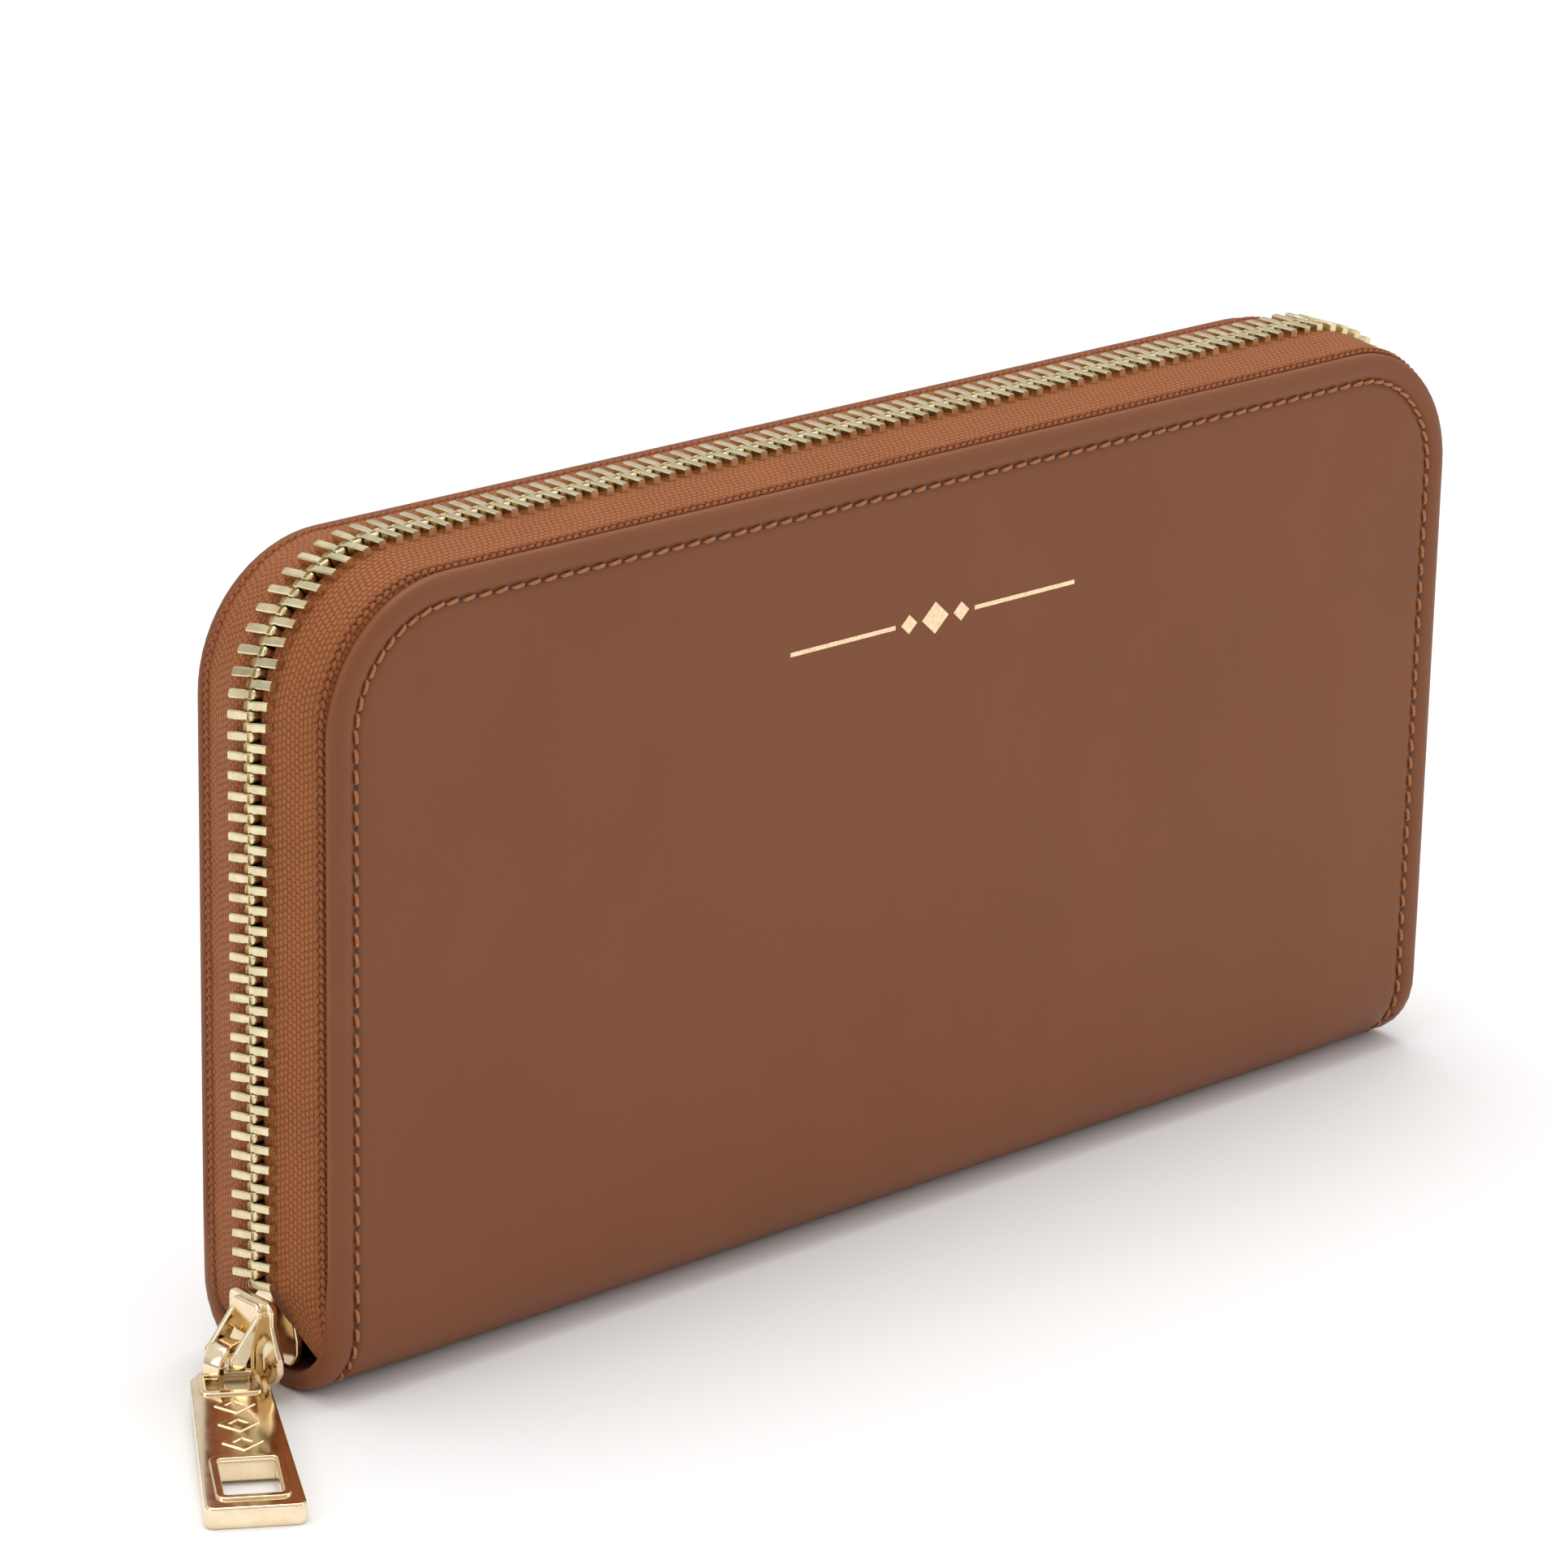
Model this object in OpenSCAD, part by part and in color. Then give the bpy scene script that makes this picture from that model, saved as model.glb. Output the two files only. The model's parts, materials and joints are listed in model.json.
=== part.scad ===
// Zip around wallet standing on its spine, zip slider at the -X end.
// Origin: centre of the flat base of the spine. X runs along the length, Y through
// the thickness with the front at -Y, and Z upwards.

/* [Wallet] */
// Length of the leather panels
body_w = 195; // [180:1:210]
// Height of the leather panels above the base
body_h = 103; // [96:1:110]
// Thickness over both covers
body_t = 26; // [25.6:0.2:28]
// Radius of the panels' two upper corners
corner_r = 18; // [14:1:24]
// Radius of the folds at the spine
fold_r = 10; // [9:0.5:10]

/* [Leather and boards] */
// Thickness of the outer leather
cover_t = 1.4; // [1.2:0.1:1.5]
// Thickness of the lining inside the spine
spine_lining_t = 1.2; // [0.8:0.1:1.3]
// Thickness of the stiffening board in each cover
board_t = 0.8; // [0.5:0.1:0.8]
// Thickness of the lining leather on each board
lining_t = 0.6; // [0.4:0.1:0.6]

/* [Interior] */
// Thickness of one row of card slots
slot_t = 0.7; // [0.5:0.1:0.7]
// Rows of card slots, one above another
slot_rows = 3; // [1:1:3]
// Height of the deepest card slot row
slot_h = 58; // [45:1:64]
// Clear width inside the coin pocket
coin_gap = 4.8; // [4.4:0.1:5]
// Thickness of the coin pocket's leather
coin_wall = 0.75; // [0.5:0.05:0.8]
// Length of the coin pocket
coin_w = 168; // [140:1:170]
// Height of the coin pocket's rim
coin_h = 84; // [70:1:86]

/* [Zip] */
// Distance between two teeth of one row
tooth_pitch = 2.55; // [2.5:0.05:3]
// Thickness of a tooth's bar along the zip
tooth_bar = 0.8; // [0.6:0.05:0.85]
// Radius of a tooth's rounded head
tooth_head_r = 0.54; // [0.4:0.02:0.54]
// Height of a tooth, square to the tape
tooth_h = 2.2; // [1.8:0.1:2.2]
// Reach of the tooth bars to each side of the centre line
tooth_reach = 3.6; // [3.2:0.1:3.8]
// Thickness of the woven tape
tape_t = 0.7; // [0.5:0.1:0.7]

/* [Slider and pull] */
// Length of the slider
slider_l = 10; // [8:0.5:10]
// Half width of the slider at its shoulders
slider_shoulder = 5.2; // [4.8:0.1:5.4]
// Half width of the slider at its narrow end
slider_nose = 3.9; // [3.6:0.1:4.2]
// Thickness of the slider's plates
plate_t = 1.1; // [0.9:0.1:1.1]
// Width of the ring's band
band_w = 2.2; // [1.6:0.1:2.2]
// Thickness of the ring's band
band_t = 0.8; // [0.6:0.1:0.8]
// Length of the pull tab from its bar
tab_l = 35.5; // [30:0.5:38]
// Thickness of the pull tab
tab_t = 2.8; // [2.2:0.1:2.8]

/* [Hidden] */
$fn = 48;
half_w = body_w / 2;
half_t = body_t / 2;
corner_z = body_h - corner_r;
touch = 0.05;
clear = 0.3;

// The covers turn about the X axis through the origin, and the cut between
// them and the spine is a cylinder about that axis.
hinge_cut_r = 15.5;
half_cut_r = hinge_cut_r + clear;

// Layers of the front half, from the outside inwards
cover_y = -half_t + cover_t;
board_y = cover_y + touch + board_t;
lining_y = board_y + lining_t;
slots_y = lining_y + slot_rows * slot_t;
board_inset = 3.6;
lining_inset = 3;
inner_z = 12.8;

// Coin pocket
coin_half = coin_gap / 2 + coin_wall;
coin_z = cover_t + spine_lining_t + touch;
coin_chain_h = 1.2;
coin_chain_half = 1.3;
coin_slider_x = -72;
coin_slider_l = 7;
coin_plate_t = 0.9;
coin_pull_l = 13;
coin_pull_w = 4;
coin_pull_t = 1;
coin_bar_r = 0.5;

// Zip chain: the teeth stand this far outside the panels' edge
chain_in = 0.2;
chain_z = 13.3;
tooth_tip = 0.5;
chain_path_r = corner_r + chain_in + tooth_h / 2;
side_l = corner_z - chain_z;
arc_l = chain_path_r * PI / 2;
top_l = body_w - 2 * corner_r;
path_l = 2 * side_l + 2 * arc_l + top_l;
tooth_count = floor(path_l / tooth_pitch);
tape_z = 11;

// Slider on the left side, with its bail, ring and tab
slider_y = -1.5;
slider_z = 2.4;
outer_plate_x = -half_w - chain_in - tooth_h - clear - plate_t;
inner_plate_x = -half_w - chain_in + clear;
inner_plate_half = 4.6;
bail_x = outer_plate_x - 3.8;
bail_z = 5.9;
bail_bar_r = 0.65;
bail_arm_y = 2.35;
bail_arm_t = 0.8;
ring_y = -1.8;
ring_yaw = -74;
ring_w = 6;
ring_h = 6.6;
ring_z = 4.2;
tab_bar_z = 2.7;
tab_bar_r = 0.75;
tab_yaw = -122.3;
tab_tilt = 2.15;
tab_head_half = 4.4;
tab_end_half = 5.7;
tab_slot_half = 3.15;
tab_slot_l = 6;

leather = "#80522f";
lining = "#6b4327";
tape_cloth = "#8a5632";
gold = "#d9c28a";
board = "#9a9282";

// Turns a profile drawn in Y and Z into a bar along X, centred on the origin
module bar_along_x(length) {
    translate([-length / 2, 0, 0])
        rotate([90, 0, 90])
            linear_extrude(length)
                children();
}

// Turns an outline drawn in X and Z into a sheet from y_low to y_high
module sheet_in_y(y_low, y_high) {
    translate([0, y_high, 0])
        rotate([90, 0, 0])
            linear_extrude(y_high - y_low)
                children();
}

// Cylinder about the covers' hinge axis
module hinge_cylinder(r) {
    translate([-body_w, 0, 0])
        rotate([0, 90, 0])
            cylinder(r = r, h = 2 * body_w, $fn = 96);
}

// Panel with two rounded upper corners, drawn in X and Z
module panel_outline(inset, bottom) {
    half = half_w - inset;
    top = body_h - inset;
    r = corner_r - inset;
    translate([-half, bottom])
        square([2 * half, top - r - bottom]);
    translate([r - half, bottom])
        square([2 * (half - r), top - bottom]);
    for (side = [-1, 1])
        translate([side * (half - r), top - r])
            circle(r);
}

// Cross-section of the leather that wraps round the spine, drawn in Y and Z
module wrap_outline(inset) {
    half = half_t - inset;
    flat = half_t - fold_r;
    translate([-half, fold_r])
        square([2 * half, hinge_cut_r]);
    translate([-flat, inset])
        square([2 * flat, hinge_cut_r]);
    for (side = [-1, 1])
        translate([side * flat, fold_r])
            circle(fold_r - inset);
}

module wrap_shell(outer, inner, r) {
    intersection() {
        difference() {
            wrap_outline(outer);
            wrap_outline(inner);
        }
        circle(r, $fn = 96);
    }
}

// Sweeps a section round the left side, the top and the right side. The
// section's x is the distance outside the panels' edge, and its y is Y.
module round_three_sides(bottom) {
    for (side = [0, 1])
        mirror([side, 0, 0]) {
            translate([half_w, 0, bottom])
                linear_extrude(corner_z - bottom)
                    children();
            translate([half_w - corner_r, 0, corner_z])
                rotate([90, 0, 0])
                    rotate_extrude(angle = 90, $fn = 96)
                        translate([corner_r, 0])
                            mirror([0, 1])
                                children();
        }
    translate([top_l / 2, 0, body_h])
        rotate([0, -90, 0])
            linear_extrude(top_l)
                children();
}

// Places a tooth at distance s along the zip from its left lower end
module at_path(s) {
    turn = chain_path_r - corner_r;
    if (s < side_l)
        translate([-half_w - turn, 0, chain_z + s])
            rotate([0, -90, 0])
                children();
    else if (s < side_l + arc_l)
        translate([corner_r - half_w, 0, corner_z])
            rotate([0, -90 + 90 * (s - side_l) / arc_l, 0])
                translate([0, 0, chain_path_r])
                    children();
    else if (s < side_l + arc_l + top_l)
        translate([corner_r - half_w + s - side_l - arc_l, 0, body_h + turn])
            children();
    else if (s < side_l + 2 * arc_l + top_l)
        translate([half_w - corner_r, 0, corner_z])
            rotate([0, 90 * (s - side_l - arc_l - top_l) / arc_l, 0])
                translate([0, 0, chain_path_r])
                    children();
    else
        translate([half_w + turn, 0, corner_z - (s - side_l - 2 * arc_l - top_l)])
            rotate([0, 90, 0])
                children();
}

module tooth() {
    translate([0, 0, -tooth_h / 2])
        linear_extrude(tooth_h) {
            translate([-tooth_bar / 2, -tooth_reach])
                square([tooth_bar, tooth_reach + tooth_tip - tooth_head_r]);
            translate([0, tooth_tip - tooth_head_r])
                circle(tooth_head_r, $fn = 24);
        }
}

module tooth_row(offset) {
    for (i = [0 : tooth_count - 1])
        at_path((i + offset) * tooth_pitch)
            tooth();
}

module front_cover() {
    color(leather)
        difference() {
            sheet_in_y(-half_t, cover_y)
                panel_outline(0, fold_r - 1);
            hinge_cylinder(half_cut_r);
        }
}

module back_cover() {
    mirror([0, 1, 0])
        front_cover();
}

module spine_cover() {
    color(leather)
        bar_along_x(body_w)
            wrap_shell(0, cover_t, hinge_cut_r);
}

module spine_lining() {
    color(lining)
        bar_along_x(body_w - 1)
            wrap_shell(cover_t, cover_t + spine_lining_t, hinge_cut_r);
}

module front_board() {
    color(board)
        sheet_in_y(cover_y + touch, board_y)
            panel_outline(board_inset, inner_z);
}

module back_board() {
    mirror([0, 1, 0])
        front_board();
}

module front_lining() {
    color(lining)
        sheet_in_y(board_y, lining_y)
            panel_outline(lining_inset, inner_z);
}

module back_lining() {
    mirror([0, 1, 0])
        front_lining();
}

module front_card_slots() {
    column_w = 84;
    column_gap = 2;
    row_step = 11;
    bottom = 14.4;
    color(leather)
        for (side = [-1, 1], row = [0 : slot_rows - 1])
            translate([side * (column_w + column_gap) / 2, 0, 0])
                sheet_in_y(lining_y + row * slot_t, lining_y + (row + 1) * slot_t)
                    translate([-column_w / 2, bottom])
                        square([column_w, slot_h - row * row_step]);
}

module back_card_slots() {
    mirror([0, 1, 0])
        front_card_slots();
}

// Woven tape: a hidden flange under the cover and a web up to the teeth
module front_zip_tape() {
    flange = -3.4;
    base = -1;
    rim = 1.75;
    color(tape_cloth)
        difference() {
            round_three_sides(tape_z)
                polygon([
                    [flange, cover_y + touch],
                    [base, cover_y + touch],
                    [rim, -tooth_reach - touch],
                    [rim - tape_t, -tooth_reach - touch],
                    [base - tape_t / 2, cover_y + touch + tape_t],
                    [flange, cover_y + touch + tape_t]
                ]);
            hinge_cylinder(half_cut_r);
        }
}

module back_zip_tape() {
    mirror([0, 1, 0])
        front_zip_tape();
}

module front_teeth() {
    color(gold)
        tooth_row(0);
}

module back_teeth() {
    color(gold)
        mirror([0, 1, 0])
            tooth_row(0.5);
}

module zip_end_stop() {
    stop_h = 2.8;
    stop_w = 3.4;
    color(gold)
        translate([half_w + chain_in, -stop_w / 2, chain_z - 1.2 - stop_h])
            cube([tooth_h, stop_w, stop_h]);
}

// Outline of the slider, drawn in Y and Z from its lower, wide end
module slider_outline(nose, shoulder) {
    chin = 0.55 * shoulder;
    polygon([
        [-chin, 0], [-shoulder, 0.18 * slider_l],
        [-shoulder, 0.36 * slider_l], [-nose, 0.62 * slider_l],
        [-nose, 0.93 * slider_l], [-nose + 0.8, slider_l],
        [nose - 0.8, slider_l], [nose, 0.93 * slider_l],
        [nose, 0.62 * slider_l], [shoulder, 0.36 * slider_l],
        [shoulder, 0.18 * slider_l], [chin, 0]
    ]);
}

module slider_plate(x, nose, shoulder) {
    translate([x, slider_y, slider_z])
        rotate([90, 0, 90])
            linear_extrude(plate_t)
                slider_outline(nose, shoulder);
}

module slider_body() {
    inner_nose = inner_plate_half - 1;
    color(gold) {
        slider_plate(outer_plate_x, slider_nose, slider_shoulder);
        translate([0, -slider_y / 2, 1])
            slider_plate(inner_plate_x, inner_nose, inner_plate_half);
    }
}

// Two arms that slope down from the slider's crown and carry the cross-bar on which the ring hangs
module slider_bail() {
    bar_l = 2 * bail_arm_y + bail_arm_t;
    color(gold) {
        for (side = [-1, 1])
            translate([0, slider_y + side * bail_arm_y + bail_arm_t / 2, 0])
                rotate([90, 0, 0])
                    linear_extrude(bail_arm_t)
                        bail_arm_outline();
        translate([bail_x, slider_y - bar_l / 2, bail_z])
            rotate([-90, 0, 0])
                cylinder(r = bail_bar_r, h = bar_l);
    }
}

module bail_arm_outline() {
    crown_low = slider_z + 6.4;
    crown_high = slider_z + 8.6;
    polygon([
        [outer_plate_x, crown_low], [outer_plate_x, crown_high], [outer_plate_x - 0.7, crown_high],
        [bail_x - 0.2, bail_z + 1], [bail_x - 0.95, bail_z + 0.35], [bail_x - 0.95, bail_z - 0.5],
        [bail_x - 0.2, bail_z - 0.95], [bail_x + 0.9, bail_z - 0.75], [outer_plate_x - 0.6, crown_low]
    ]);
}

// Link of flat band that joins the bail and the tab
module pull_ring() {
    bend_r = 1.6;
    color(gold)
        translate([bail_x, ring_y, ring_z])
            rotate([0, 0, ring_yaw])
                rotate([90, 0, 90])
                    translate([0, 0, -band_w / 2])
                        linear_extrude(band_w)
                            difference() {
                                ring_outline(0, bend_r);
                                ring_outline(band_t, bend_r - band_t);
                            }
}

module ring_outline(inset, r) {
    w = ring_w / 2 - inset;
    h = ring_h / 2 - inset;
    translate([-w, r - h])
        square([2 * w, 2 * (h - r)]);
    translate([r - w, -h])
        square([2 * (w - r), 2 * h]);
    for (side = [-1, 1], end = [-1, 1])
        translate([side * (w - r), end * (h - r)])
            circle(r);
}

module pull_tab() {
    rim = 1.3;
    head_rim = 2.6;
    window_l = 9.5;
    window_half = 3.7;
    end_rim = 2.4;
    color(gold)
        translate([bail_x, ring_y, tab_bar_z])
            rotate([0, 0, tab_yaw])
                rotate([0, tab_tilt, 0]) {
                    difference() {
                        translate([0, 0, -tab_t / 2])
                            linear_extrude(tab_t)
                                polygon([
                                    [-tab_bar_r, -tab_head_half + head_rim],
                                    [head_rim - tab_bar_r, -tab_head_half],
                                    [tab_l - rim, -tab_end_half],
                                    [tab_l, -tab_end_half + rim],
                                    [tab_l, tab_end_half - rim],
                                    [tab_l - rim, tab_end_half],
                                    [head_rim - tab_bar_r, tab_head_half],
                                    [-tab_bar_r, tab_head_half - head_rim]
                                ]);
                        translate([-tab_slot_l, -tab_slot_half, -tab_t])
                            cube([2 * tab_slot_l, 2 * tab_slot_half, 2 * tab_t]);
                        translate([tab_l - end_rim - window_l, -window_half, -tab_t])
                            cube([window_l, 2 * window_half, 2 * tab_t]);
                    }
                    translate([0, -tab_slot_half, 0])
                        rotate([-90, 0, 0])
                            cylinder(r = tab_bar_r, h = 2 * tab_slot_half);
                }
}

// Foil-stamped ornament: three lozenges in a row between two thin bars
module front_foil_stamp() {
    foil_t = 0.1;
    stamp_z = 82;
    big = 3;
    small = 1.7;
    spacing = 4.6;
    bar_l = 18;
    bar_h = 0.5;
    bar_x = 7;
    color(gold)
        sheet_in_y(-half_t - foil_t, -half_t)
            translate([0, stamp_z]) {
                rotate(45)
                    square(big, center = true);
                for (side = [-1, 1]) {
                    translate([side * spacing, 0])
                        rotate(45)
                            square(small, center = true);
                    translate([side * (bar_x + bar_l / 2) - bar_l / 2, -bar_h / 2])
                        square([bar_l, bar_h]);
                }
            }
}

// One leather piece folded up into two walls, with closed ends
module coin_pocket() {
    color(leather)
        difference() {
            translate([-coin_w / 2, -coin_half, coin_z])
                cube([coin_w, 2 * coin_half, coin_h - coin_z]);
            translate([coin_wall - coin_w / 2, -coin_gap / 2, coin_z + coin_wall])
                cube([coin_w - 2 * coin_wall, coin_gap, coin_h]);
        }
}

module coin_zip_tapes() {
    tape_h = 0.6;
    color(tape_cloth)
        for (side = [0, 1])
            mirror([0, side, 0])
                translate([-coin_w / 2, coin_chain_half, coin_h])
                    cube([coin_w, coin_half - coin_chain_half, tape_h]);
}

module coin_zip_chain() {
    color(gold)
        translate([-coin_w / 2, -coin_chain_half, coin_h])
            cube([coin_w, 2 * coin_chain_half, coin_chain_h]);
}

module coin_slider() {
    top_z = coin_h + coin_chain_h + clear;
    upper_half = 2.9;
    lower_half = coin_gap / 2 - clear;
    lug_h = 2.2;
    lug_t = 0.6;
    color(gold)
        translate([coin_slider_x, 0, 0]) {
            translate([-coin_slider_l / 2, -upper_half, top_z])
                cube([coin_slider_l, 2 * upper_half, coin_plate_t]);
            translate([-coin_slider_l / 2, -lower_half, coin_h - clear - coin_plate_t])
                cube([coin_slider_l, 2 * lower_half, coin_plate_t]);
            for (side = [-1, 1])
                translate([-coin_slider_l / 2, side * (upper_half - lug_t / 2) - lug_t / 2, top_z])
                    cube([lug_h, lug_t, coin_plate_t + lug_h]);
            translate([lug_h / 2 - coin_slider_l / 2, -upper_half, coin_bar_z()])
                rotate([-90, 0, 0])
                    cylinder(r = coin_bar_r, h = 2 * upper_half);
        }
}

function coin_bar_z() = coin_h + coin_chain_h + clear + coin_plate_t + 1.5;

// Small pull with an eye round the coin slider's bar
module coin_pull() {
    eye_r = 1;
    running = 0.05;
    color(gold)
        translate([coin_slider_x - coin_slider_l / 2 + 1.1, 0, coin_bar_z()])
            difference() {
                union() {
                    translate([0, coin_pull_w / 2, 0])
                        rotate([90, 0, 0])
                            cylinder(r = eye_r, h = coin_pull_w);
                    translate([0, -coin_pull_w / 2, -coin_pull_t / 2])
                        cube([coin_pull_l, coin_pull_w, coin_pull_t]);
                }
                translate([0, coin_pull_w, 0])
                    rotate([90, 0, 0])
                        cylinder(r = coin_bar_r + running, h = 2 * coin_pull_w);
            }
}

// Folded side pleats between the coin pocket and each half
module gusset_pleats() {
    pleat_x = coin_w / 2 + 0.4;
    pleat_out = 7;
    pleat_t = 0.7;
    near_y = coin_half + 0.1;
    far_y = -slots_y - 0.5;
    mid_y = (near_y + far_y) / 2;
    bottom = 14;
    top = 78;
    color(leather)
        for (half = [0, 1])
            mirror([0, half, 0])
                translate([0, 0, bottom])
                    linear_extrude(top - bottom)
                        polygon([
                            [pleat_x, near_y],
                            [pleat_x + pleat_t, near_y],
                            [pleat_x + pleat_out, mid_y],
                            [pleat_x + pleat_t, far_y],
                            [pleat_x, far_y],
                            [pleat_x + pleat_out - pleat_t, mid_y]
                        ]);
}

module left_gussets() {
    mirror([1, 0, 0])
        gusset_pleats();
}

module right_gussets() {
    gusset_pleats();
}

front_cover();
back_cover();
spine_cover();
spine_lining();
front_board();
back_board();
front_lining();
back_lining();
front_card_slots();
back_card_slots();
front_zip_tape();
back_zip_tape();
front_teeth();
back_teeth();
zip_end_stop();
slider_body();
slider_bail();
pull_ring();
pull_tab();
front_foil_stamp();
coin_pocket();
coin_zip_tapes();
coin_zip_chain();
coin_slider();
coin_pull();
left_gussets();
right_gussets();
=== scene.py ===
import json
import math
import random

import bmesh
import bpy
from mathutils import Matrix, Vector


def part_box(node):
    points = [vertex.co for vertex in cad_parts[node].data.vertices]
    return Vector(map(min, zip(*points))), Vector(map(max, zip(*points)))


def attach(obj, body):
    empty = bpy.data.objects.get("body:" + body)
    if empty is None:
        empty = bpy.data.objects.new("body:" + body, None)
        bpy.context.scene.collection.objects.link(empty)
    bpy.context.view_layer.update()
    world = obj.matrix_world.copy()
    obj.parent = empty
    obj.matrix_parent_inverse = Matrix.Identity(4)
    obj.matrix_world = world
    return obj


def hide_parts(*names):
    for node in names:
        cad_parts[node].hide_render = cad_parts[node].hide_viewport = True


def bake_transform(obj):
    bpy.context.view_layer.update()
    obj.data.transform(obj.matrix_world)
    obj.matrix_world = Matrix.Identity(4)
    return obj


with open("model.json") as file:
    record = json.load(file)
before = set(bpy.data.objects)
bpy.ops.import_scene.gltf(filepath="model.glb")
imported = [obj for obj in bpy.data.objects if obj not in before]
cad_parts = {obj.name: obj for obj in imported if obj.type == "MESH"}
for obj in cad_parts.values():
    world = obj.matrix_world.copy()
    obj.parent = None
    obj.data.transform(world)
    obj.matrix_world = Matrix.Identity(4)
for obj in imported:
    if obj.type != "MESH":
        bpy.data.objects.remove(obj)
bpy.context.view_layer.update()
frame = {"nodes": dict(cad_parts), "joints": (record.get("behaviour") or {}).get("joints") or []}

MM = 0.001
PI = math.pi
random.seed(7)

# ---------------------------------------------------------------- sizes, in millimetres
cover_lo, cover_hi = (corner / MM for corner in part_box("front_cover"))
_, chain_hi = (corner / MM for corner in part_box("front_teeth"))
HALF_W = cover_hi.x                 # half the length of the leather panels
TOP_Z = cover_hi.z                  # height of the leather panels
HALF_T = -cover_lo.y                # half the thickness over both covers
CORNER_R = 18.0                     # radius of the panels' upper corners
FOLD_R = 10.0                       # radius of the folds at the spine
CHAIN_OUT = chain_hi.x - HALF_W     # how far the teeth stand outside the panels' edge
TOOTH_H = 2.2                       # height of a tooth, square to the tape
TOOTH_PITCH = 2.55                  # distance between two teeth of one row
CHAIN_Z = 13.3                      # height of the lowest tooth
STITCH_INSET = 3.7                  # distance of the stitch line from the panel's edge
STITCH_PITCH = 2.55                 # length of one stitch
EDGE_T = 1.5                        # thickness of the covers' turned edge
FOLD_EDGE_T = 2.5                   # and of the thicker edge round the spine
PUFF = 0.5                          # how far the middle of a cover bulges
FLAT = HALF_T - FOLD_R              # half width of the flat strip under the spine
FOLD_V = FLAT + FOLD_R * PI / 2     # distance along the leather to the end of the fold
PANEL_V = FOLD_V + TOP_Z - FOLD_R   # distance along the leather to the panel's top


# ---------------------------------------------------------------- mesh helpers
def add_object(name, data):
    """Puts a new object in the scene."""
    obj = bpy.data.objects.new(name, data)
    bpy.context.scene.collection.objects.link(obj)
    return obj


def add_piece(name, mesh, material):
    """Puts a new piece in the scene, with a material."""
    obj = add_object(name, mesh)
    mesh.materials.clear()
    mesh.materials.append(material)
    return obj


def follow_cover(obj):
    """Bakes the piece's placement into its mesh."""
    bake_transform(obj)


def mesh_piece(name, verts, faces, material, uvs=None, sharp_deg=None):
    """A smooth-shaded mesh from points in millimetres, with one UV pair per point."""
    mesh = bpy.data.meshes.new(name)
    mesh.from_pydata([Vector(v) * MM for v in verts], [], faces)
    mesh.validate()
    for key, pairs in (uvs or {}).items():
        layer = mesh.uv_layers.new(name=key)
        for loop in mesh.loops:
            layer.data[loop.index].uv = pairs[loop.vertex_index]
    mesh.shade_smooth()
    if sharp_deg is not None:
        mesh.set_sharp_from_angle(angle=math.radians(sharp_deg))
    return add_piece(name, mesh, material)


def unit(t):
    """t held between 0 and 1."""
    return min(1.0, max(0.0, t))


def add_copy(verts, faces, points, shape_faces):
    """Adds one copy of a small shape to a mesh's points and faces."""
    first = len(verts)
    verts += points
    faces += [[first + i for i in face] for face in shape_faces]


def grid_faces(rows, columns, closed_columns=False, flip=False, first=0):
    """Quads over a grid of points stored row after row."""
    faces = []
    for r in range(rows - 1):
        for c in range(columns if closed_columns else columns - 1):
            d = (c + 1) % columns
            quad = [first + r * columns + c, first + r * columns + d,
                    first + (r + 1) * columns + d, first + (r + 1) * columns + c]
            faces.append(quad[::-1] if flip else quad)
    return faces


def merge_close(obj, distance=0.002):
    """Joins points that fall together and turns all faces outward."""
    bm = bmesh.new()
    bm.from_mesh(obj.data)
    bmesh.ops.remove_doubles(bm, verts=bm.verts, dist=distance * MM)
    bmesh.ops.recalc_face_normals(bm, faces=bm.faces)
    bm.to_mesh(obj.data)
    bm.free()


def plate(name, outlines, thickness, bevel, place, material, segments=3):
    """A flat plate with rounded rims. outlines are closed lists of points: the outside and its holes."""
    curve = bpy.data.curves.new(name + "_outline", "CURVE")
    curve.dimensions = "2D"
    curve.fill_mode = "BOTH"
    curve.extrude = (thickness / 2 - bevel) * MM
    curve.bevel_depth = bevel * MM
    curve.bevel_resolution = segments
    for points in outlines:
        spline = curve.splines.new("POLY")
        spline.points.add(len(points) - 1)
        for target, (x, y) in zip(spline.points, points):
            target.co = (x * MM, y * MM, 0, 1)
        spline.use_cyclic_u = True
    holder = add_object(name + "_holder", curve)
    bpy.context.view_layer.update()
    mesh = bpy.data.meshes.new_from_object(holder)
    bpy.data.objects.remove(holder)
    mesh.name = name
    mesh.transform(place)
    mesh.shade_smooth()
    mesh.set_sharp_from_angle(angle=math.radians(40))
    return add_piece(name, mesh, material)


def joined(name, objects):
    """One object from several that share materials."""
    for obj in bpy.context.selected_objects:
        obj.select_set(False)
    for obj in objects:
        obj.select_set(True)
    bpy.context.view_layer.objects.active = objects[0]
    bpy.ops.object.join()
    objects[0].name = name
    objects[0].data.name = name
    return objects[0]


def place_mm(x, y, z):
    return Matrix.Translation(Vector((x, y, z)) * MM)


def turn(axis, degrees):
    return Matrix.Rotation(math.radians(degrees), 4, axis)


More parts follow.
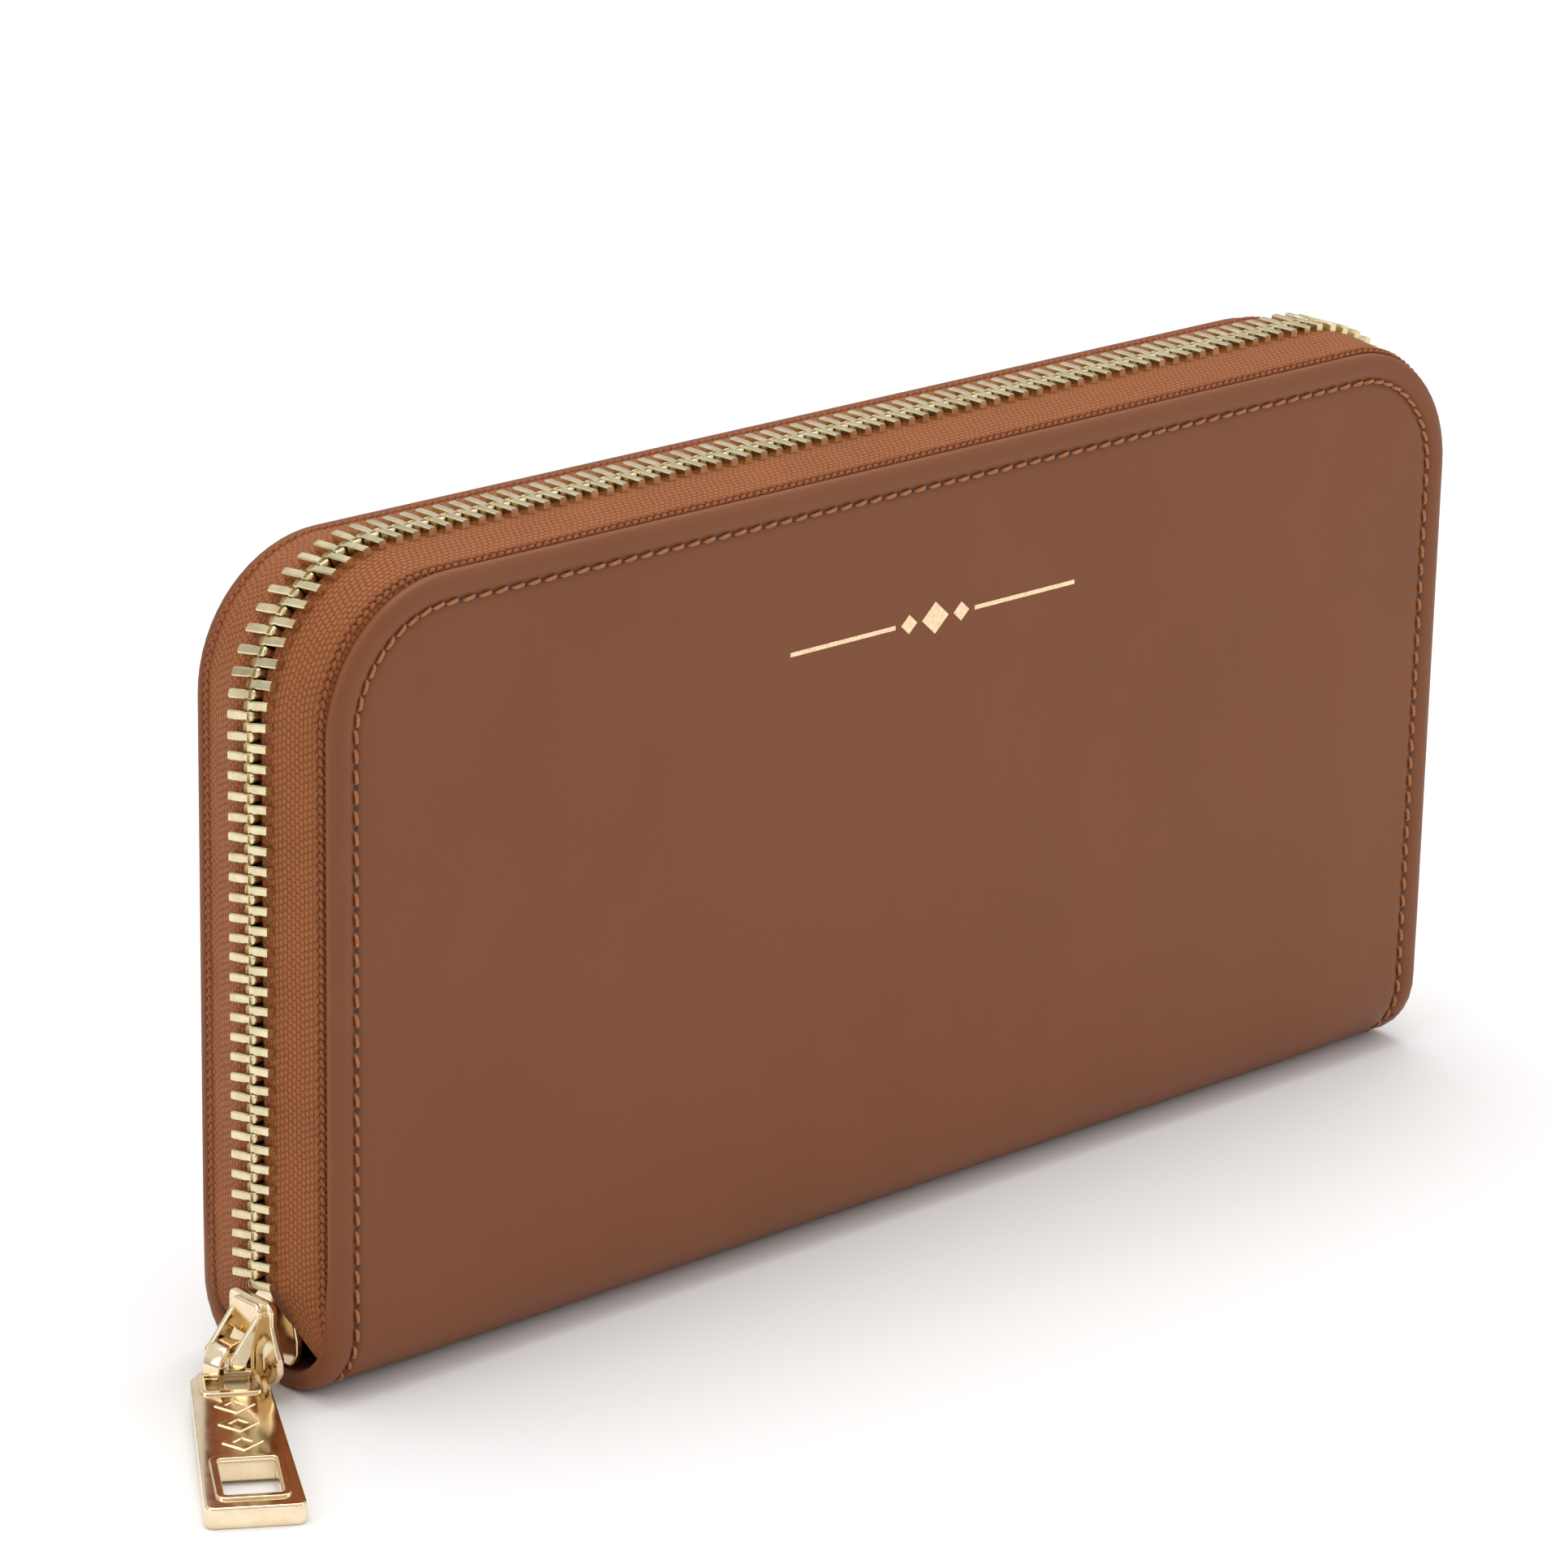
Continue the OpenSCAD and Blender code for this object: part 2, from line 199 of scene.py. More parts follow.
def rounded_loop(points, radius, steps=6):
    """The closed polygon of points with every corner rounded."""
    loop = []
    for i, point in enumerate(points):
        here = Vector(point)
        back = (Vector(points[i - 1]) - here).normalized()
        on = (Vector(points[(i + 1) % len(points)]) - here).normalized()
        half = back.angle(on) / 2
        reach = min(radius, 0.45 * (Vector(points[i - 1]) - here).length * math.tan(half),
                    0.45 * (Vector(points[(i + 1) % len(points)]) - here).length * math.tan(half))
        centre = here + (back + on).normalized() * reach / math.sin(half)
        first = here + back * reach / math.tan(half) - centre
        last = here + on * reach / math.tan(half) - centre
        for k in range(steps + 1):
            mix = first.lerp(last, k / steps)
            loop.append(tuple(centre + mix.normalized() * reach))
    return loop


def rectangle(x0, x1, y0, y1):
    return [(x0, y0), (x1, y0), (x1, y1), (x0, y1)]


# ---------------------------------------------------------------- paths round three sides
def three_sides(bottom, top, step, arc_steps):
    """Points up the left side, along the top and down the right side of a panel.
    Each is (x, height, outward x, outward height, distance)."""
    path = []
    side = top - CORNER_R - bottom
    rows = max(2, round(side / step))
    arc = CORNER_R * PI / 2
    width = 2 * (HALF_W - CORNER_R)
    columns = max(2, round(width / step))
    for i in range(rows):
        path.append((-HALF_W, bottom + side * i / rows, -1, 0, side * i / rows))
    for i in range(arc_steps + 1):
        a = PI / 2 * i / arc_steps
        path.append((CORNER_R - HALF_W - CORNER_R * math.cos(a), top - CORNER_R + CORNER_R * math.sin(a),
                     -math.cos(a), math.sin(a), side + a * CORNER_R))
    for i in range(1, columns):
        path.append((CORNER_R - HALF_W + width * i / columns, top, 0, 1, side + arc + width * i / columns))
    for i in range(arc_steps + 1):
        a = PI / 2 * i / arc_steps
        path.append((HALF_W - CORNER_R + CORNER_R * math.sin(a), top - CORNER_R + CORNER_R * math.cos(a),
                     math.sin(a), math.cos(a), side + arc + width + a * CORNER_R))
    for i in range(1, rows + 1):
        path.append((HALF_W, top - CORNER_R - side * i / rows, 1, 0,
                     side + 2 * arc + width + side * i / rows))
    return path


def along_path(bottom, top, outset, pitch, start=0.0):
    """Even places along the same way, outset outside the panel: (x, height, outward x, outward height)."""
    radius = CORNER_R + outset
    side = top - CORNER_R - bottom
    arc = radius * PI / 2
    width = 2 * (HALF_W - CORNER_R)
    s = start
    while s < 2 * side + 2 * arc + width:
        if s < side:
            yield -HALF_W - outset, bottom + s, -1, 0
        elif s < side + arc:
            a = PI / 2 * (s - side) / arc
            yield (CORNER_R - HALF_W - radius * math.cos(a), top - CORNER_R + radius * math.sin(a),
                   -math.cos(a), math.sin(a))
        elif s < side + arc + width:
            yield CORNER_R - HALF_W + s - side - arc, top + outset, 0, 1
        elif s < side + 2 * arc + width:
            a = PI / 2 * (s - side - arc - width) / arc
            yield (HALF_W - CORNER_R + radius * math.sin(a), top - CORNER_R + radius * math.cos(a),
                   math.sin(a), math.cos(a))
        else:
            yield HALF_W + outset, top - CORNER_R - (s - side - 2 * arc - width), 1, 0
        s += pitch


def on_leather(x, v, n, side):
    """The point at distance v along the leather from the middle of the spine, n outside its face."""
    if v < FLAT:
        y, z = -v, -n
    elif v < FOLD_V:
        a = (v - FLAT) / FOLD_R
        y, z = -FLAT - (FOLD_R + n) * math.sin(a), FOLD_R - (FOLD_R + n) * math.cos(a)
    else:
        y, z = -HALF_T - n, FOLD_R + v - FOLD_V
    return x, y * side, max(z, 0.02)


# ---------------------------------------------------------------- materials
def new_material(name):
    material = bpy.data.materials.new(name)
    material.use_nodes = True
    tree = material.node_tree
    return material, tree, tree.nodes["Principled BSDF"]


def set_inputs(tree, target, inputs):
    """Links the sockets among inputs to target's inputs, and sets the plain values."""
    for key, value in inputs.items():
        if isinstance(value, bpy.types.NodeSocket):
            tree.links.new(value, target.inputs[key])
        else:
            target.inputs[key].default_value = value


def node(tree, kind, inputs=None, **settings):
    made = tree.nodes.new(kind)
    for key, value in settings.items():
        setattr(made, key, value)
    set_inputs(tree, made, inputs or {})
    return made


def maths(tree, operation, *values):
    return node(tree, "ShaderNodeMath", dict(enumerate(values)), operation=operation).outputs[0]


def bump(tree, height, strength, distance):
    """A normal from a height, for the distance in metres."""
    made = node(tree, "ShaderNodeBump", {"Strength": strength, "Distance": distance, "Height": height})
    return made.outputs[0]


def remap(tree, value, from_lo, from_hi, to_lo, to_hi):
    made = node(tree, "ShaderNodeMapRange", {0: value, 1: from_lo, 2: from_hi, 3: to_lo, 4: to_hi})
    return made.outputs[0]


def stretched_noise(tree, scale, detail=4.0, roughness=0.55):
    """Noise in object space, with scale per metre given for each axis."""
    where = node(tree, "ShaderNodeTexCoord").outputs["Object"]
    mapped = node(tree, "ShaderNodeMapping", {"Vector": where, "Scale": scale}).outputs[0]
    return node(tree, "ShaderNodeTexNoise",
                {"Vector": mapped, "Scale": 1.0, "Detail": detail, "Roughness": roughness}).outputs["Fac"]


def blend_colours(tree, factor, dark, light):
    mix = node(tree, "ShaderNodeMix", {0: factor, 6: (*dark, 1), 7: (*light, 1)}, data_type="RGBA")
    return mix.outputs[2]


def uv_axes(tree, layer):
    """The two coordinates of a UV layer, in millimetres."""
    uv = node(tree, "ShaderNodeUVMap", uv_map=layer).outputs[0]
    split = node(tree, "ShaderNodeSeparateXYZ", {0: uv})
    return [maths(tree, "MULTIPLY", output, 1000.0) for output in split.outputs[:2]]


def leather_material(name, dark, light, roughness, holes=False):
    """Smooth fine-grained leather with faint striations up the panel; with holes, painted shade darkens the
    stitch holes and the stitch groove.
    """
    material, tree, shader = new_material(name)
    cloudy = stretched_noise(tree, (55, 55, 38), 5.0)
    striae = stretched_noise(tree, (3600, 3600, 260), 3.0, 0.6)
    pores = stretched_noise(tree, (5200, 5200, 3600), 2.0, 0.5)
    tone = maths(tree, "ADD", maths(tree, "MULTIPLY", cloudy, 0.6), maths(tree, "MULTIPLY", striae, 0.4))
    colour = blend_colours(tree, remap(tree, tone, 0.26, 0.74, 0.0, 1.0), dark, light)
    height = maths(tree, "ADD", maths(tree, "MULTIPLY", striae, 0.7), maths(tree, "MULTIPLY", pores, 0.35))
    if holes:
        along, inset = uv_axes(tree, "edge")
        phase = maths(tree, "FRACT", maths(tree, "DIVIDE", along, STITCH_PITCH))
        dx = maths(tree, "MULTIPLY", maths(tree, "SUBTRACT", phase, 0.5), STITCH_PITCH)
        dy = maths(tree, "SUBTRACT", inset, STITCH_INSET)
        apart = maths(tree, "SQRT", maths(tree, "ADD", maths(tree, "MULTIPLY", dx, dx),
                                          maths(tree, "MULTIPLY", dy, dy)))
        # Painted shade: the stitch holes and the groove along the stitch line are darkened in colour. The
        # holes also sink in the bump.
        hole = remap(tree, apart, 0.28, 0.55, 1.0, 0.0)
        groove_shade = remap(tree, maths(tree, "ABSOLUTE", dy), 0.25, 0.95, 0.3, 0.0)
        shade = maths(tree, "MAXIMUM", hole, groove_shade)
        painted_hole_shade = tuple(0.38 * c for c in dark)
        mix = node(tree, "ShaderNodeMix", {0: shade, 6: colour, 7: (*painted_hole_shade, 1)}, data_type="RGBA")
        colour = mix.outputs[2]
        height = maths(tree, "SUBTRACT", height, maths(tree, "MULTIPLY", hole, 2.0))
    set_inputs(tree, shader, {
        "Base Color": colour, "Specular IOR Level": 0.26, "Normal": bump(tree, height, 0.16, 0.00006),
        "Roughness": remap(tree, striae, 0.3, 0.7, roughness - 0.05, roughness + 0.07)})
    return material


WALE_W, COURSE_L = 0.64, 0.88       # width and length of one stitch of the herringbone tape


def tape_material():
    """Herringbone tape with painted shade in the hollows of the weave. Its UV layer holds the distance along
    the zip and across the tape.
    """
    material, tree, shader = new_material("zip_tape_weave")
    along, across = uv_axes(tree, "weave")
    columns = maths(tree, "DIVIDE", across, WALE_W)
    step = maths(tree, "MULTIPLY", maths(tree, "PINGPONG", maths(tree, "FLOOR", columns), 4.0), 0.36)
    rows = maths(tree, "ADD", maths(tree, "DIVIDE", along, COURSE_L), step)
    round_across = maths(tree, "SINE", maths(tree, "MULTIPLY", maths(tree, "FRACT", columns), PI))
    round_along = maths(tree, "SINE", maths(tree, "MULTIPLY", maths(tree, "FRACT", rows), PI))
    weave = maths(tree, "POWER", maths(tree, "MULTIPLY", round_across, round_along), 0.5)
    fuzz = stretched_noise(tree, (1500, 1500, 1500), 4.0, 0.65)
    cloudy = stretched_noise(tree, (120, 120, 120), 3.0)
    uneven = maths(tree, "ADD", maths(tree, "MULTIPLY", fuzz, 0.28), maths(tree, "MULTIPLY", cloudy, 0.22))
    # Colour follows the weave's shape. The yarn crests are lighter and the hollows between yarns darker, which
    # is painted shade. Random uneven tone is added on top.
    tone = maths(tree, "ADD", maths(tree, "MULTIPLY", weave, 0.62), uneven)
    height = maths(tree, "ADD", weave, maths(tree, "MULTIPLY", fuzz, 0.35))
    set_inputs(tree, shader, {
        "Base Color": blend_colours(tree, remap(tree, tone, 0.15, 0.85, 0.0, 1.0), TAPE_DARK, TAPE_LIGHT),
        "Roughness": 0.72, "Specular IOR Level": 0.25, "Normal": bump(tree, height, 0.7, 0.00022),
        "Sheen Weight": 0.1, "Sheen Roughness": 0.4, "Sheen Tint": (1.0, 0.62, 0.38, 1)})
    return material


def thread_material(name, dark, light):
    """Twisted sewing thread."""
    material, tree, shader = new_material(name)
    twist = stretched_noise(tree, (4200, 4200, 4200), 3.0, 0.6)
    set_inputs(tree, shader, {
        "Base Color": blend_colours(tree, remap(tree, twist, 0.32, 0.68, 0.0, 1.0), dark, light),
        "Roughness": 0.6, "Specular IOR Level": 0.25, "Normal": bump(tree, twist, 0.6, 0.00008)})
    return material


def metal_material(name, dark, light, roughness, wear_scale):
    """Plated metal with faint polishing marks."""
    material, tree, shader = new_material(name)
    marks = stretched_noise(tree, (wear_scale, wear_scale, wear_scale), 4.0, 0.6)
    set_inputs(tree, shader, {
        "Base Color": blend_colours(tree, remap(tree, marks, 0.35, 0.65, 0.0, 1.0), dark, light),
        "Roughness": remap(tree, marks, 0.3, 0.7, roughness * 0.7, roughness * 1.4),
        "Metallic": 1.0, "Normal": bump(tree, marks, 0.05, 0.00003)})
    return material


LEATHER_DARK, LEATHER_LIGHT = (0.184, 0.057, 0.018), (0.216, 0.070, 0.023)
# Tape colour ends: the span covers random tone, painted shade in the hollows of the weave, and lighter crests.
TAPE_DARK, TAPE_LIGHT = (0.12, 0.031, 0.008), (0.37, 0.118, 0.036)
LEATHER = leather_material("cover_leather_grain", LEATHER_DARK, LEATHER_LIGHT, 0.44, holes=True)
INNER = leather_material("inner_leather_grain", (0.165, 0.066, 0.030), (0.215, 0.090, 0.043), 0.52)
POCKET = leather_material("pocket_leather_grain", LEATHER_DARK, LEATHER_LIGHT, 0.48)
TAPE = tape_material()
CORD = thread_material("chain_stitch_thread", (0.17, 0.047, 0.013), (0.37, 0.118, 0.038))
THREAD = thread_material("sewing_thread", (0.31, 0.112, 0.040), (0.53, 0.21, 0.086))
TEETH = metal_material("pale_gold_teeth", (0.66, 0.55, 0.33), (0.80, 0.70, 0.46), 0.2, 420)
GOLD = metal_material("polished_gold", (0.82, 0.65, 0.42), (0.92, 0.78, 0.56), 0.10, 300)
FOIL = metal_material("gold_foil", (0.80, 0.55, 0.33), (0.95, 0.76, 0.52), 0.30, 1400)


def board_material():
    """Pressed fibre board."""
    material, tree, shader = new_material("fibre_board")
    fibres = stretched_noise(tree, (900, 900, 2400), 5.0, 0.7)
    set_inputs(tree, shader, {
        "Base Color": blend_colours(tree, fibres, (0.25, 0.22, 0.17), (0.42, 0.38, 0.31)),
        "Roughness": 0.85})
    return material


BOARD = board_material()


# ---------------------------------------------------------------- leather covers
# The turned edge in section: distance in from the edge, height over the leather's face. A height
# below 0 counts in halves of the edge's local thickness
TURNED_EDGE = [(18, -2), (14, -2), (9, -2), (5, -2), (2.2, -2), (0.9, -2), (0.42, -1.92), (0.14, -1.7),
               (0.02, -1.4), (0, -1.0), (0.06, -0.6), (0.24, -0.22), (0.55, 0.04), (1.0, 0.2),
               (1.6, 0.28), (2.2, 0.26), (2.75, 0.14),
               (3.15, -0.04), (3.45, -0.2), (3.7, -0.26), (3.95, -0.2), (4.3, -0.03), (4.8, 0.08),
               (5.6, 0.12), (7, 0.14), (9, 0.16), (11.5, 0.2), (14.5, 0.24), (18, 0.28)]
ON_FACE = -0.5                      # heights above this are on the face, lower ones on edge and back
NO_STITCH = 0.1                     # inset in metres that keeps stitch holes off a point


def edge_height(n, v):
    """Height of a point of the turned edge, which is thicker round the spine."""
    t = unit((v - FOLD_V) / 9.0)
    thick = FOLD_EDGE_T + (EDGE_T - FOLD_EDGE_T) * t * t * (3 - 2 * t)
    return n * thick / 2 if n < 0 else n


def cover_bulge(x, v):
    """Soft outward bulge of a cover, none at its edges and in the fold."""
    across = max(0.0, 1 - (abs(x) / HALF_W) ** 4)
    t = unit((v - FOLD_V) / (PANEL_V - FOLD_V))
    return PUFF * across * math.sin(PI * t)


def cover_piece(name, side, nodes):
    """One side's leather: turned edge, face and back, from the middle of the spine to the top."""
    path = three_sides(0.0, PANEL_V, 2.2, 16)
    verts, edge_uv = [], []
    for inset, n in TURNED_EDGE:
        for x, v, ox, ov, s in path:
            px, pv = x - ox * inset, v - ov * inset
            face = unit((inset - 4) / 14) if n > ON_FACE else 0.0
            verts.append(on_leather(px, pv, edge_height(n, pv) + face * cover_bulge(px, pv), side))
            edge_uv.append((s * MM, inset * MM if n > ON_FACE else NO_STITCH))
    faces = grid_faces(len(TURNED_EDGE), len(path), flip=side < 0)
    inner_x = [p[0] for p in path if p[2:4] == (0, 1) or abs(p[2]) < 1e-6]
    inner_x = sorted(set(round(min(max(x, CORNER_R - HALF_W), HALF_W - CORNER_R), 6) for x in inner_x))
    inner_v = sorted(set(round(p[1], 6) for p in path if p[2] == -1 and p[1] <= PANEL_V - CORNER_R + 1e-6))
    for n in (TURNED_EDGE[0][1], TURNED_EDGE[-1][1]):
        first = len(verts)
        for v in inner_v:
            for x in inner_x:
                puff = cover_bulge(x, v) if n > ON_FACE else 0.0
                verts.append(on_leather(x, v, edge_height(n, v) + puff, side))
                edge_uv.append((0.0, NO_STITCH))
        faces += grid_faces(len(inner_v), len(inner_x), flip=(n > ON_FACE) == (side < 0), first=first)
    obj = mesh_piece(name, verts, faces, LEATHER, {"edge": edge_uv})
    merge_close(obj)
    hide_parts(*nodes)
    follow_cover(obj)
    return obj


def capsule(length, radius, sides=7, rings=7, dip=0.0):
    """A thread segment along X with round ends, which dip into the leather."""
    verts = []
    for r in range(rings):
        t = r / (rings - 1) * 2 - 1
        width = radius * math.sqrt(max(0.02, 1 - t ** 6))
        for c in range(sides):
            a = 2 * PI * c / sides
            verts.append((t * length / 2, width * math.cos(a), width * math.sin(a) - dip * t ** 4))
    faces = grid_faces(rings, sides, closed_columns=True)
    faces.append(list(range(sides))[::-1])
    faces.append(list(range((rings - 1) * sides, rings * sides)))
    return verts, faces


def stitch_piece(name, side):
    """The row of slanted stitches round one cover."""
    shape, shape_faces = capsule(STITCH_PITCH * 0.84, 0.26, dip=0.4)
    verts, faces = [], []
    slant = math.radians(9)
    for x, v, ox, ov in along_path(0.0, PANEL_V, 0.0, STITCH_PITCH, STITCH_PITCH):
        points = []
        tx, tv = ov, -ox                                  # direction along the path
        wobble = slant + random.uniform(-0.05, 0.05)
        for along, out, up in shape:
            a = along * math.cos(wobble) - out * math.sin(wobble)
            b = along * math.sin(wobble) + out * math.cos(wobble) - STITCH_INSET
            px, pv = x + tx * a + ox * b, v + tv * a + ov * b
            points.append(on_leather(px, max(pv, 0.0), up + 0.06, side))
        add_copy(verts, faces, points, shape_faces)
    obj = mesh_piece(name, verts, faces, THREAD)
    follow_cover(obj)
    return obj


# ---------------------------------------------------------------- zip tape
TAPE_BOTTOM = 4.0                   # the tapes' lower end
TUCK_Z = 14.0                       # they turn in below this height
# Outer face of the tape in section: distance outside the panel's edge, distance from the middle
TAPE_FACE = [(-2.2, 11.45), (-1.0, 11.45), (-0.45, 11.3), (-0.12, 10.9), (0.06, 10.3), (0.2, 9.6),
             (0.36, 8.8), (0.56, 7.9), (0.76, 6.9), (0.95, 6.0), (1.12, 5.1), (1.25, 4.4), (1.3, 3.7),
             (1.22, 2.9), (1.15, 2.1), (1.1, 1.4), (0.95, 0.95), (0.66, 0.85)]
TAPE_T = 0.75                       # thickness of the tape
CORNER_FULLNESS = 0.45              # how far the gathered tape stands out more at the corners
CORD_PITCH = 1.18                   # length of one chain stitch


def tucked(z, outset, y):
    """A point of the tape at height z. Below the closed zip the tapes part and turn in."""
    t = unit((TUCK_Z - z) / (TUCK_Z - TAPE_BOTTOM))
    near = max(0.0, 1 - y / 11.5)
    return outset - 3.6 * t ** 1.5 * near - 0.8 * t * t, y + 8.0 * t ** 1.4 * near


def tape_piece(name, side, cad_node):
    """One half of the woven tape, from under the leather's edge to the bead that carries the teeth."""
    path = three_sides(TAPE_BOTTOM, TOP_Z, 1.3, 20)
    section = TAPE_FACE + [(out - TAPE_T, y) for out, y in reversed(TAPE_FACE)]
    verts, uvs = [], []
    for x, z, ox, oz, s in path:
        ripple = 0.05 * math.sin(s * 0.9) + 0.04 * math.sin(s * 0.37 + 1.1)
        for out, y in section:
            out_here, y_here = tucked(z, out, y)
            free = math.sin(PI * unit((y - 3) / 8))
            out_here += ripple * free + CORNER_FULLNESS * abs(2 * ox * oz) * unit((y - 4) / 5)
            verts.append((x + ox * out_here, -side * y_here, z + oz * out_here))
            uvs.append((s * MM, y * MM))
    faces = grid_faces(len(path), len(section), closed_columns=True, flip=side < 0)
    faces.append(list(range(len(section)))[::1 if side < 0 else -1])
    last = (len(path) - 1) * len(section)
    faces.append([last + i for i in range(len(section))][::-1 if side < 0 else 1])
    obj = mesh_piece(name, verts, faces, TAPE, {"weave": uvs})
    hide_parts(cad_node)
    follow_cover(obj)
    return obj


def cord_rows(name, side):
    """Two rows of chain stitch along the leather's edge."""
    shape, shape_faces = capsule(1.35, 0.33, sides=6, rings=5, dip=0.12)
    verts, faces = [], []
    for row, (out, y) in enumerate([(-0.2, 11.0), (0.0, 10.35)]):
        slant = math.radians(24 if row else -24)
        for x, z, ox, oz in along_path(TAPE_BOTTOM + 2, TOP_Z, 0.0, CORD_PITCH, CORD_PITCH / 2 * row):
            out_here, y_here = tucked(z, out, y)
            points = []
            for along, across, up in shape:
                a = along * math.cos(slant) - across * math.sin(slant)
                b = along * math.sin(slant) + across * math.cos(slant)
                rise = out_here + up + 0.1 + CORNER_FULLNESS * abs(2 * ox * oz)
                points.append((x + oz * a + ox * rise, -side * (y_here + b), z - ox * a + oz * rise))
            add_copy(verts, faces, points, shape_faces)
    obj = mesh_piece(name, verts, faces, CORD)
    follow_cover(obj)
    return obj


# ---------------------------------------------------------------- teeth
CHAIN_SHEAR = 0.17                  # slope of the teeth on the left, where the tapes have slipped a little


def tooth_shape():
    """One tooth: a flat bar that clamps the tape's bead, and a head with a dimple.
    X runs along the zip, Y across it towards the middle, and Z square to the tape."""
    bm = bmesh.new()
    half_bar, reach, tip = 0.58, 3.65, 0.9
    stations = [(-reach, half_bar * 0.94, 0.0), (-reach + 0.25, half_bar, 0.0), (-1.1, half_bar, 0.0),
                (-0.4, half_bar * 0.86, -0.06), (-0.05, half_bar * 1.08, -0.1),
                (0.55, half_bar * 1.08, -0.12), (0.78, half_bar * 0.86, -0.2), (tip, half_bar * 0.5, -0.34)]
    rings = []
    edge = 0.16
    for y, half, drop in stations:
        top, low = TOOTH_H / 2 + drop, -TOOTH_H / 2 - drop
        rings.append([bm.verts.new(v) for v in (
            (-half + edge, y, top), (half - edge, y, top), (half, y, top - edge), (half, y, low + edge),
            (half - edge, y, low), (-half + edge, y, low), (-half, y, low + edge), (-half, y, top - edge))])
    for a, b in zip(rings, rings[1:]):
        for i in range(8):
            j = (i + 1) % 8
            bm.faces.new((a[i], a[j], b[j], b[i]))
    bm.faces.new(rings[0][::-1])
    bm.faces.new(rings[-1])
    dimple_face = max(
        (f for f in bm.faces if abs(f.calc_center_median().y - 0.25) < 0.1 and len(f.verts) == 4),
        key=lambda f: f.calc_center_median().z)
    for depth, amount in ((0.0, 0.1), (0.25, 0.08)):
        bmesh.ops.inset_region(bm, faces=[dimple_face], thickness=amount, depth=-depth)
    bmesh.ops.recalc_face_normals(bm, faces=bm.faces)
    bm.verts.index_update()
    verts = [tuple(v.co) for v in bm.verts]
    faces = [[v.index for v in f.verts] for f in bm.faces]
    bm.free()
    return verts, faces


def teeth_piece(name, side, half, cad_node, offset):
    """A row of teeth all round the zip."""
    shape, shape_faces = tooth_shape()
    if side < 0:
        shape_faces = [face[::-1] for face in shape_faces]
    verts, faces = [], []
    middle = CHAIN_OUT - TOOTH_H / 2
    for x, z, ox, oz in along_path(CHAIN_Z, TOP_Z, middle, TOOTH_PITCH, offset * TOOTH_PITCH):
        points = []
        lean = random.uniform(-0.025, 0.025)
        slope = lean - side * CHAIN_SHEAR * max(0.0, -ox)
        for along, across, up in shape:
            a = along + across * slope
            points.append((x + oz * a + ox * up, side * across, z - ox * a + oz * up))
        add_copy(verts, faces, points, shape_faces)
    obj = mesh_piece(name, verts, faces, TEETH, sharp_deg=35)
    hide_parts(cad_node)
    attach(obj, half)
    return obj


# ---------------------------------------------------------------- slider, ring and tab
slider_lo, slider_hi = (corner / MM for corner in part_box("slider_body"))
bail_lo, bail_hi = (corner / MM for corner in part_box("slider_bail"))
ring_lo, ring_hi = (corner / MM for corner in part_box("pull_ring"))
PLATE_T = 1.1                       # thickness of the slider's plates
BAR_R = 0.65                        # radius of the bail's bar
BAR_DEPTH = 0.95                    # from the bail's outer and lower face to the middle of its bar
BAIL_X = bail_lo.x + BAR_DEPTH
BAIL_Y = (bail_lo.y + bail_hi.y) / 2
BAIL_Z = bail_lo.z + BAR_DEPTH
BAIL_HALF = 2.35                    # from the middle of the bail to the middle of an arm
SLIDER_Z = slider_lo.z


def gold_plate(name, outlines, thickness, bevel, place, segments=3):
    return plate(name, outlines, thickness, bevel, place, GOLD, segments)


def slider_outline(nose, shoulder, length):
    """Outline of a slider plate in (y, z), with half widths: wide at its lower end, narrow above."""
    right = [(0.0, 0.55), (0.42 * shoulder, 0.05), (0.78 * shoulder, 0.0), (shoulder, 0.16 * length),
             (shoulder, 0.34 * length), (nose + 0.5, 0.58 * length), (nose, 0.74 * length), (nose, length)]
    return rounded_loop(right + [(-y, z) for y, z in reversed(right[1:])], 0.9)


